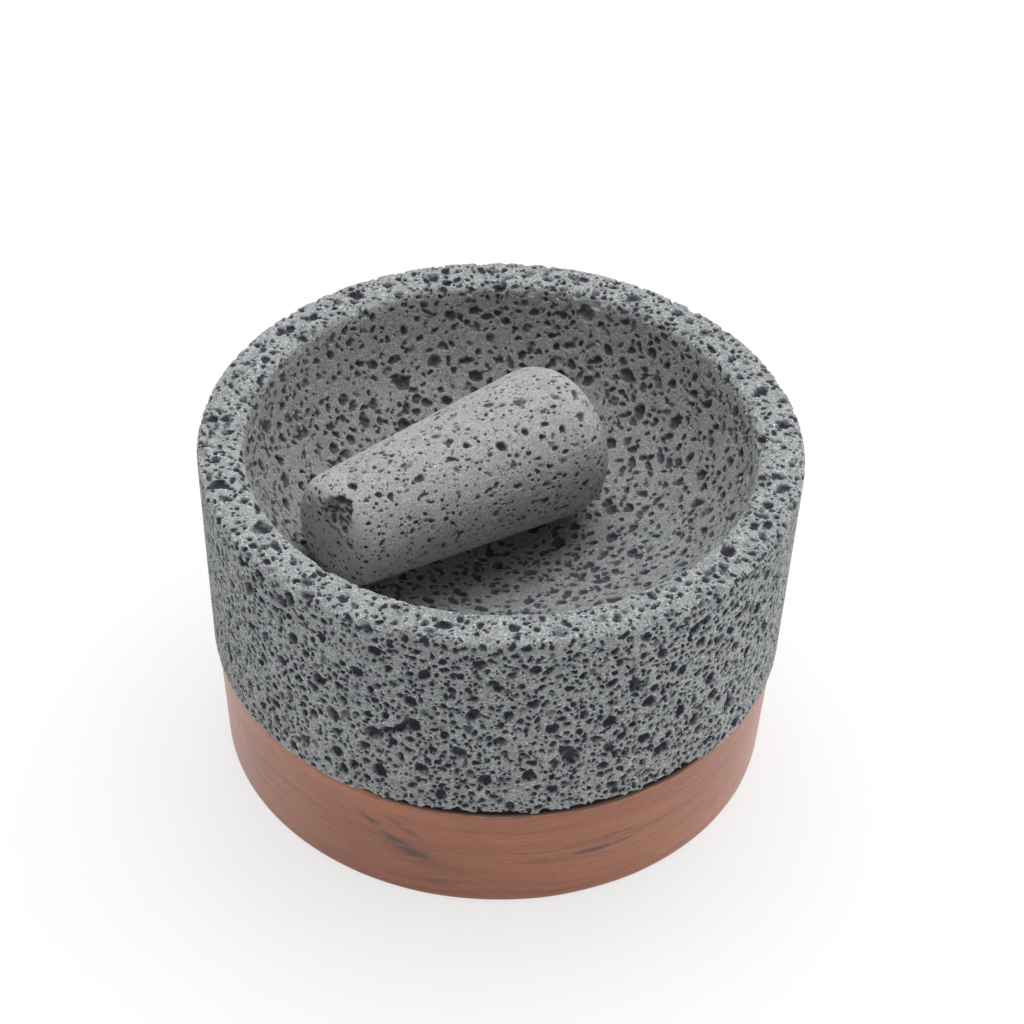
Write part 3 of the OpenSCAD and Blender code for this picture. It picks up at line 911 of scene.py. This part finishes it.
wood_sheet = 420.0
wood_wall = int(np.argmax(base_outline[:, 0] > relief_r + 1))
wood_top = int(np.argmax(base_outline[:, 1] > base_top_z - 0.2))
wood_uv = flat_map(wood, base_outline, [
    (0, wood_wall, "disc_from_first", 100.0, 100.0, 1.0),
    (wood_wall, wood_top, "strip", 4.0, 206.0, 1.0),
    (wood_top, len(base_outline) - 1, "disc_from_last", 310.0, 100.0, 0.95)], wood_sheet)
wooden_base = mesh_object("wooden_base_skin", wood_points, wood["triangles"], wood_uv)
print(f"base: {len(wood_points)} points, {base_top_z:.0f} mm high")

# %% [markdown]
# ## Veins and painted shadow of the wood
# A few dark smoky veins run through the slab. A picture could be wrapped round the wall, but the wall has
# no seam to hide its ends at, so each vein is a soft stroke along the grain, and the strength of all of
# them together is stored at the points. So is a painted shadow on the top, where the stone stands and
# shades the wood. At the gap under the stone's broken foot the painted shadow runs over the lip, and a
# third number says where.

# %% Veins and painted shadow
# Each smoky vein: turn in degrees, height, length, thickness, slope in degrees, strength.
veins = [(-105, 20.0, 22, 4.4, -18, 1.0), (-105, 20.0, 30, 9.0, -16, 0.50), (-108, 24.0, 14, 3.0, -24, 0.9),
         (-114, 30.6, 10, 2.4, -25, 0.8), (-107, 31.5, 10, 3.4, -28, 0.8), (-100, 8.0, 18, 3.0, -5, 0.35),
         (-68, 21.2, 18, 2.4, 2, 0.9), (-63, 21.6, 9, 2.0, 5, 0.8), (-78, 20.5, 18, 3.0, 0, 0.5),
         (-66, 26.0, 34, 1.8, 1, 0.5), (-159, 35.7, 2, 2.5, 0, 1.0),
         (40, 24.0, 22, 5.0, 10, 0.8), (105, 20.0, 26, 5.0, -8, 0.9), (160, 28.0, 18, 4.0, 6, 0.7)]
smoke = np.zeros(len(wood_points))
for turn, height, length, thick, slope, strength in veins:
    side = (np.degrees(wood["turn"]) - turn + 180) % 360 - 180
    side = np.radians(side) * base_top_r
    rise = wood_points[:, 2] - height - side * math.tan(math.radians(slope))
    smoke = np.maximum(smoke, strength * np.exp(-(side / (length / 2)) ** 2 - (rise / (thick / 2)) ** 2))
wood_wall_r = relief_r + 5
smoke *= np.hypot(wood_points[:, 0], wood_points[:, 1]) > wood_wall_r
# Painted shadow: the top under the stone and the lip below the gap are marked to be painted dark.
on_top = wood["ring"] > wood_top
lip_fade = 6.0
from_gap = np.abs(np.degrees(wood["turn"]) % 360 - broken_middle)
at_gap = np.clip((broken_half - from_gap) / lip_fade, 0, 1)
point_values(wooden_base, "smoke", smoke)
point_values(wooden_base, "seam_shadow", on_top.astype(float))
point_values(wooden_base, "lip_shadow", at_gap)
print(f"{len(veins)} veins, {np.mean(on_top):.0%} of the points stained")

# %% [markdown]
# ## Writing materials
# A material is a small graph, which most people draw in the Shader Editor. Here a helper makes one node,
# sets its plain values and joins its linked ones in a single call, so that each finish reads like a recipe.

# %% Helpers that make a shader node


def new_finish(name):
    """An empty material with its output joined to a Principled shader."""
    finish = bpy.data.materials.new(name)
    finish.use_nodes = True
    tree = finish.node_tree
    tree.nodes.clear()
    shader = tree.nodes.new("ShaderNodeBsdfPrincipled")
    output = tree.nodes.new("ShaderNodeOutputMaterial")
    tree.links.new(shader.outputs["BSDF"], output.inputs["Surface"])
    return finish, tree, shader


def add(tree, kind, inputs, **settings):
    """One node. Values that are sockets become links."""
    made = tree.nodes.new("ShaderNode" + kind)
    for key, value in settings.items():
        setattr(made, key, value)
    for key, value in inputs.items():
        if isinstance(value, bpy.types.NodeSocket):
            tree.links.new(value, made.inputs[key])
        else:
            made.inputs[key].default_value = value
    return made


print("node helpers ready for Blender", bpy.app.version_string)

# %% [markdown]
# ## Patterns and tints
# Most finishes need only a few kinds of nodes: a noise, a range, a mix of two colours, a sum or a product,
# and a number stored at the points. Each gets a short helper of its own. The colours are written as a
# picture program shows them, because that is how they are matched.

# %% Helpers for patterns and tints


def noise(tree, where, scale, detail=4.0, roughness=0.6):
    """Cloudy noise between 0 and 1."""
    return add(tree, "TexNoise", {"Vector": where, "Scale": scale, "Detail": detail,
                                  "Roughness": roughness}).outputs["Fac"]


def spread(tree, value, low, high, to_low=0.0, to_high=1.0):
    """A range of a value stretched to another range, and held at its ends."""
    return add(tree, "MapRange", {"Value": value, "From Min": low, "From Max": high,
                                  "To Min": to_low, "To Max": to_high}).outputs["Result"]


def mix(tree, share, first, second):
    """Two colours mixed by a share."""
    return add(tree, "Mix", {0: share, 6: first, 7: second}, data_type="RGBA").outputs[2]


def maths(tree, how, first, second):
    """Two numbers added, multiplied or compared."""
    return add(tree, "Math", {0: first, 1: second}, operation=how).outputs[0]


def stored(tree, name):
    """The number that every point carries under a name."""
    return add(tree, "Attribute", {}, attribute_name=name).outputs["Fac"]


def layered(tree, colour, layers):
    """Tints laid over a colour. Each layer: a pattern, where it starts and ends, its full share, its tint."""
    for pattern, start, end, share, tint in layers:
        colour = mix(tree, spread(tree, pattern, start, end, 0.0, share), colour, tint)
    return colour


def srgb(red, green, blue):
    """A colour as a picture program writes it, turned into the linear light that Blender mixes."""
    linear = [v / 255 / 12.92 if v <= 10 else ((v / 255 + 0.055) / 1.055) ** 2.4 for v in (red, green, blue)]
    return (*linear, 1.0)


print("mid grey 128 is", round(srgb(128, 128, 128)[0], 3), "in linear light")

# %% [markdown]
# ## Basalt
# Close up, basalt is a grey paste of pale and dark crystals. A photograph of stone would repeat and could
# not turn a corner, so patterns that fill the space of the stone are used. One Voronoi pattern gives each
# crystal a tone of its own. Another makes the pinholes that are too small for the mesh, and will both
# paint shade into them and dent the surface.

# %% Patterns of the stone


def crystals(tree, where, scale):
    """A random number for each small cell of the stone, as its grains of mineral differ."""
    cells = add(tree, "TexVoronoi", {"Vector": where, "Scale": scale})
    return add(tree, "SeparateColor", {"Color": cells.outputs["Color"]}).outputs["Red"]


def pinholes(tree, where, share, scale):
    """1 in the pinholes of a stone: some cells of a pattern have one, and luck says how large it is."""
    cells = add(tree, "TexVoronoi", {"Vector": where, "Scale": scale})
    luck = add(tree, "SeparateColor", {"Color": cells.outputs["Color"]}).outputs["Red"]
    size = spread(tree, luck, 1 - share, 1.0, 0.05, 0.40)
    return spread(tree, maths(tree, "SUBTRACT", cells.outputs["Distance"], size), -0.08, 0.05, 1.0, 0.0)


crystal_scale = 2800.0
print(f"crystals about {1000 / crystal_scale:.2f} mm wide")

# %% [markdown]
# ## Finish of the stones
# Both stones are the same paste in their own greys: crystals, peppered by a fine noise and clouded by
# slower ones. Pores are painted darker towards their bottom, as painted shade where little light gets in,
# with some dust. A plain grey with a rough shader would look like clay. A few crystals carry painted glints,
# fewer where the bowl was ground, and there it is darker. The tejolote was rubbed along its axis, so its
# patterns are laid down with it, and it shows fine lines along its length.

# %% Finish of the two stones


def basalt(name, painted_glint, pale, dark, pore, pinhole_share, pinhole_scale, rubbed=None):
    """Speckled grey stone. A rubbed stone also shows fine lines along its own axis."""
    finish, tree, shader = new_finish(name)
    where = add(tree, "TexCoord", {}).outputs["Object"]
    if rubbed:
        where = add(tree, "Mapping", {"Vector": where, "Location": rubbed.translation * MM,
                                      "Rotation": rubbed.to_euler()}, vector_type="TEXTURE").outputs[0]
    worn = stored(tree, "ground")
    salt = crystals(tree, where, crystal_scale)
    pepper = noise(tree, where, 900.0, 4.0, 0.8)
    patches = noise(tree, where, 200.0, 4.0, 0.65)
    drift = noise(tree, where, 22.0, 2.0)
    # Painted highlights: a few crystals are painted near white as glints, fewer where the bowl was ground.
    painted_glints = maths(tree, "MULTIPLY", spread(tree, salt, 0.950, 0.960, 0.0, 0.6),
                   spread(tree, worn, 0.0, 1.0, 1.0, 0.25))
    colour = layered(tree, mix(tree, salt, dark, pale), [
        (pepper, 0.45, 0.68, 0.80, dark),
        (worn, 0.5, 1.0, 0.30, dark),
        (patches, 0.42, 0.66, 0.45, dark),
        (drift, 0.35, 0.65, 0.12, pale),
        # Painted light: the grip end is painted paler.
        (stored(tree, "painted_light_end"), 0.0, 1.0, 0.6, pale)])
    colour = mix(tree, painted_glints, colour, painted_glint)

    # Painted shade: pinholes too small for the mesh are painted in the pore colour, less where the bowl was
    # ground.
    pinhole = pinholes(tree, where, pinhole_share, pinhole_scale)
    shade = maths(tree, "MULTIPLY", pinhole, spread(tree, worn, 0.0, 1.0, 0.85, 0.30))
    colour = mix(tree, shade, colour, pore)
    # Painted shade, with some dust: pores are painted darker towards their bottom, a little less where
    # ground.
    shade = maths(tree, "MULTIPLY", spread(tree, stored(tree, "pore_shade"), 0.08, 0.80),
                  spread(tree, worn, 0.0, 1.0, 0.94, 0.78))
    colour = mix(tree, shade, colour, pore)
    height = salt
    if rubbed:
        fine = add(tree, "Mapping", {"Vector": where, "Scale": (900.0, 900.0, 120.0)}).outputs[0]
        lines = noise(tree, fine, 1.0, 3.0, 0.7)
        colour = layered(tree, colour, [(lines, 0.52, 0.70, 0.45, dark)])
        height = maths(tree, "SUBTRACT", salt, lines)
    tree.links.new(colour, shader.inputs["Base Color"])

    relief = maths(tree, "SUBTRACT", height, pinhole)
    bump = add(tree, "Bump", {"Height": relief, "Strength": 0.8, "Distance": 0.0004})
    tree.links.new(bump.outputs["Normal"], shader.inputs["Normal"])
    shader.inputs["Roughness"].default_value = 0.92
    shader.inputs["Specular IOR Level"].default_value = 0.2
    return finish


# Each stone's glint colour is a painted highlight, and its pore colour the painted shade of its pores.
bowl_finish = basalt("bowl_basalt", painted_glint=srgb(232, 235, 235), pale=srgb(206, 208, 208),
                     dark=srgb(116, 118, 120), pore=srgb(47, 50, 57),
                     pinhole_share=0.5, pinhole_scale=640.0)
hand_finish = basalt("tejolote_basalt", painted_glint=srgb(214, 214, 213), pale=srgb(202, 202, 201),
                     dark=srgb(142, 142, 142), pore=srgb(45, 47, 52),
                     pinhole_share=0.55, pinhole_scale=760.0, rubbed=lay_down)
stone_bowl.data.materials.append(bowl_finish)
tejolote.data.materials.append(hand_finish)
print("stone finishes:", bowl_finish.name, hand_finish.name)

# %% [markdown]
# ## Painted seam shadow
# Under the stone the wood is painted dark as shadow. Two materials would meet in a ruled line, so the
# painted shadow is a share between 0 and 1 that one material reads. It is whole on the top, and where the
# gap is it runs over the lip by just under a millimetre, with noise to lift and lower its edge.

# %% Painted shadow of the wood


def painted_seam_shadow(tree, where):
    """Painted shadow: 1 on the top of the base and, along the gap, on its lip."""
    shadow_edge_noise = spread(tree, noise(tree, where, 160.0, 3.0), 0.30, 0.70, -0.35 * MM, 0.35 * MM)
    height = maths(tree, "ADD", add(tree, "SeparateXYZ", {0: where}).outputs["Z"], shadow_edge_noise)
    lip_shadow = maths(tree, "MULTIPLY", stored(tree, "lip_shadow"), spread(tree, height, lip_low * MM, lip_high * MM))
    return maths(tree, "MAXIMUM", stored(tree, "seam_shadow"), lip_shadow)


lip_low, lip_high = base_top_z - 0.95, base_top_z - 0.70
print(f"the stain ends between {lip_low:.2f} and {lip_high:.2f} mm, give or take its creep")

# %% [markdown]
# ## Oiled wood
# The slab was cut so that its growth layers lie nearly level, so on the turned wall they show as long
# streaks that follow the rim. A picture of wood would have to be wrapped round and joined. Noise that is
# stretched along the board runs through it as real grain does: a broad one gives the streaks, finer ones
# the lines, fibres and flecks. A satin oil leaves a soft gloss, which pales the wall where it turns away
# from the eye.

# %% Finish of the wooden base


def oiled_wood(name):
    """Reddish-brown wood with streaks, fibres and veins along the board."""
    finish, tree, shader = new_finish(name)
    where = add(tree, "TexCoord", {}).outputs["Object"]
    sway = add(tree, "TexNoise", {"Vector": where, "Scale": 16.0, "Detail": 3.0}).outputs["Color"]
    sway = add(tree, "VectorMath", {0: sway, 1: (0.010, 0.010, 0.010)}, operation="MULTIPLY").outputs[0]
    board = add(tree, "VectorMath", {0: where, 1: sway}, operation="ADD").outputs[0]

    def stretched(along, across, through, detail, roughness):
        """Noise drawn out along the board."""
        space = add(tree, "Mapping", {"Vector": board, "Scale": (along, across, through)}).outputs[0]
        return noise(tree, space, 1.0, detail, roughness)

    tone = stretched(8.0, 14.0, 40.0, 3.0, 0.5)
    streak = stretched(10.0, 36.0, 300.0, 5.0, 0.65)
    line = stretched(4.0, 9.0, 520.0, 3.0, 0.55)
    fibre = stretched(130.0, 500.0, 1500.0, 4.0, 0.8)
    hair = stretched(26.0, 70.0, 2400.0, 3.0, 0.65)
    flecks = stretched(230.0, 900.0, 2200.0, 2.0, 0.6)
    wisps = stretched(60.0, 130.0, 420.0, 5.0, 0.75)
    turned = add(tree, "Mapping", {"Vector": where, "Scale": (0.0, 0.0, 1500.0)}).outputs[0]
    turned = noise(tree, turned, 1.0, 2.0, 0.6)
    dots = noise(tree, where, 1300.0, 2.0, 0.7)
    vein = maths(tree, "MULTIPLY", stored(tree, "smoke"), spread(tree, wisps, 0.32, 0.58, 0.15, 1.0))

    colour = mix(tree, spread(tree, tone, 0.30, 0.70), srgb(150, 87, 59), srgb(175, 108, 72))
    colour = layered(tree, colour, [
        (streak, 0.45, 0.75, 0.34, srgb(118, 70, 54)),
        (streak, 0.42, 0.25, 0.30, srgb(186, 120, 84)),
        (line, 0.55, 0.66, 0.36, srgb(108, 66, 53)),
        (fibre, 0.48, 0.68, 0.35, srgb(104, 62, 50)),
        (fibre, 0.44, 0.30, 0.22, srgb(196, 128, 92)),
        (hair, 0.52, 0.64, 0.30, srgb(106, 62, 48)),
        (hair, 0.46, 0.36, 0.22, srgb(198, 130, 92)),
        (flecks, 0.64, 0.74, 0.30, srgb(212, 152, 116)),
        (dots, 0.52, 0.72, 0.18, srgb(110, 66, 54)),
        (vein, 0.05, 0.60, 0.85, srgb(62, 52, 52)),
        # Painted shadow on the top and on the lip below the gap.
        (painted_seam_shadow(tree, where), 0.0, 1.0, 0.85, srgb(58, 42, 36))])
    tree.links.new(colour, shader.inputs["Base Color"])

    dull = spread(tree, fibre, 0.30, 0.70, 0.30, 0.44)
    tree.links.new(dull, shader.inputs["Roughness"])
    shader.inputs["Coat Weight"].default_value = 0.20
    shader.inputs["Coat Roughness"].default_value = 0.35
    relief = maths(tree, "ADD", fibre, turned)
    bump = add(tree, "Bump", {"Height": relief, "Strength": 0.18, "Distance": 0.0003})
    tree.links.new(bump.outputs["Normal"], shader.inputs["Normal"])
    return finish


wood_finish = oiled_wood("oiled_wood")
wooden_base.data.materials.append(wood_finish)
print("wood finish:", wood_finish.name)

# %% [markdown]
# ## Joining the pieces to the frame
# Each skin moves with the body of the solid that it stands for, and the solid itself is then hidden.
# Parenting by hand would do the same, but the frame already knows its joints.

# %% Ride and replace
for piece, body, node, slot in ((wooden_base, "base", "wooden_base", "base_wood"),
                                (stone_bowl, "bowl", "stone_bowl", "bowl_stone"),
                                (tejolote, "hand_stone", "tejolote", "hand_stone")):
    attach(piece, body)
    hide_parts(node)
    print(piece.name, "rides on", body)

# %% [markdown]
# ## The floor
# The photograph is a product picture on an even white ground. The floor is a mid tone for light that
# bounces, so that the walls stay darker than the rim, and reads as white to the eye and to reflections. It
# still takes the object's soft shadow.

# %% Floor
FLOOR_HALF = 6.0
floor_mesh = bpy.data.meshes.new("floor")
floor_mesh.from_pydata([(-FLOOR_HALF, -FLOOR_HALF, 0), (FLOOR_HALF, -FLOOR_HALF, 0),
                        (FLOOR_HALF, FLOOR_HALF, 0), (-FLOOR_HALF, FLOOR_HALF, 0)], [], [(0, 1, 2, 3)])
floor = bpy.data.objects.new("floor", floor_mesh)
bpy.context.scene.collection.objects.link(floor)
floor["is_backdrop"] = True


def seen_directly(tree, path):
    """1 where a ray comes from the camera or from a glossy surface."""
    return maths(tree, "MAXIMUM", path.outputs["Is Camera Ray"], path.outputs["Is Glossy Ray"])


floor_finish = bpy.data.materials.new("white_ground")
floor_finish.use_nodes = True
tree = floor_finish.node_tree
tree.nodes.clear()
path = add(tree, "LightPath", {})
seen = maths(tree, "MAXIMUM", seen_directly(tree, path), path.outputs["Is Transmission Ray"])
lit = add(tree, "BsdfDiffuse", {"Color": (0.79, 0.80, 0.81, 1)})
pale = add(tree, "BsdfDiffuse", {"Color": (0.95, 0.95, 0.95, 1)})
glow = add(tree, "Emission", {"Color": (1, 1, 1, 1), "Strength": 1.0})
white = add(tree, "MixShader", {0: 0.70, 1: pale.outputs[0], 2: glow.outputs[0]})
both = add(tree, "MixShader", {0: seen, 1: lit.outputs[0], 2: white.outputs[0]})
add(tree, "OutputMaterial", {"Surface": both.outputs[0]})
floor_mesh.materials.append(floor_finish)
print("floor:", 2 * FLOOR_HALF, "m square")

# %% [markdown]
# ## Light
# A sun would draw hard shadows into the pores, so the light is soft. One large softbox hangs overhead, a
# little behind the bowl, so the rim is brightest and the wall that faces the eye is darker. Three small
# weak ones stand low at the sides and in front, and lift the walls and the wood. The room itself is
# brighter behind than in front.

# %% Light
world = bpy.data.worlds.new("studio")
bpy.context.scene.world = world
world.use_nodes = True
tree = world.node_tree
tree.nodes.clear()
path = add(tree, "LightPath", {})
seen = seen_directly(tree, path)
facing = add(tree, "SeparateXYZ", {0: add(tree, "TexCoord", {}).outputs["Generated"]}).outputs["Y"]
front_light, back_light = 0.20, 0.72
strength = spread(tree, facing, -1.0, 1.0, front_light, back_light)
room = add(tree, "Background", {"Color": (0.97, 0.985, 1.0, 1), "Strength": strength})
white = add(tree, "Background", {"Color": (1, 1, 1, 1), "Strength": 1.0})
both = add(tree, "MixShader", {0: seen, 1: room.outputs[0], 2: white.outputs[0]})
add(tree, "OutputWorld", {"Surface": both.outputs[0]})


def softbox(name, at, size, power):
    """A square light that faces the bowl: its place and side in metres, and its power in watts."""
    lamp = bpy.data.lights.new(name, "AREA")
    lamp.size = size
    lamp.energy = power
    box = bpy.data.objects.new(name, lamp)
    box.location = at
    box.rotation_euler = (Vector((0, 0, rim_z * MM)) - Vector(at)).to_track_quat("-Z", "Y").to_euler()
    bpy.context.scene.collection.objects.link(box)


softbox("overhead", (0.10, 0.30, 1.30), 1.0, 14.0)
softbox("low_right", (1.10, 0.10, 0.16), 0.30, 3.8)
softbox("low_left", (-1.10, 0.10, 0.16), 0.30, 2.0)
softbox("low_front", (0.10, -1.20, 0.11), 0.30, 2.3)

# %% [markdown]
# ## Camera
# A camera placed by eye is seldom true. This one was fitted: it stands where the outlines of the rim, the
# seam and the foot agree with the photograph. It looks down by about forty degrees from a metre away, and
# leans to one side by the roll.

# %% Camera
elevation = math.radians(40.42)
roll = math.radians(1.9)
distance = 1.0
aim = Vector((0.00421, 0, 0.09029))
FRAME_PX = 1024
FOCAL_PX = 2978.0
back = Vector((0, -math.cos(elevation), math.sin(elevation)))
right, up = Vector((1, 0, 0)), Vector((0, math.sin(elevation), math.cos(elevation)))
right, up = right * math.cos(roll) + up * math.sin(roll), up * math.cos(roll) - right * math.sin(roll)
lens = bpy.data.cameras.new("camera")
lens.sensor_width = 36.0
lens.lens = FOCAL_PX / FRAME_PX * lens.sensor_width
camera = bpy.data.objects.new("camera", lens)
pose = Matrix((right, up, back)).transposed().to_4x4()
pose.translation = aim + back * distance
camera.matrix_world = pose
bpy.context.scene.collection.objects.link(camera)
bpy.context.scene.camera = camera
bpy.context.scene.view_settings.view_transform = "Standard"
print(f"camera: {lens.lens:.1f} mm lens at {distance:.2f} m")

# %% [markdown]
# ## Measuring
# The skins should fill the same box as the solids, so both boxes are written down and can be compared.

# %% Measure and finish
visual_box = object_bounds()
sizes = {"cad": [list(corner) for corner in cad_box], "visual": [list(corner) for corner in visual_box]}
print("sizes:", sizes)
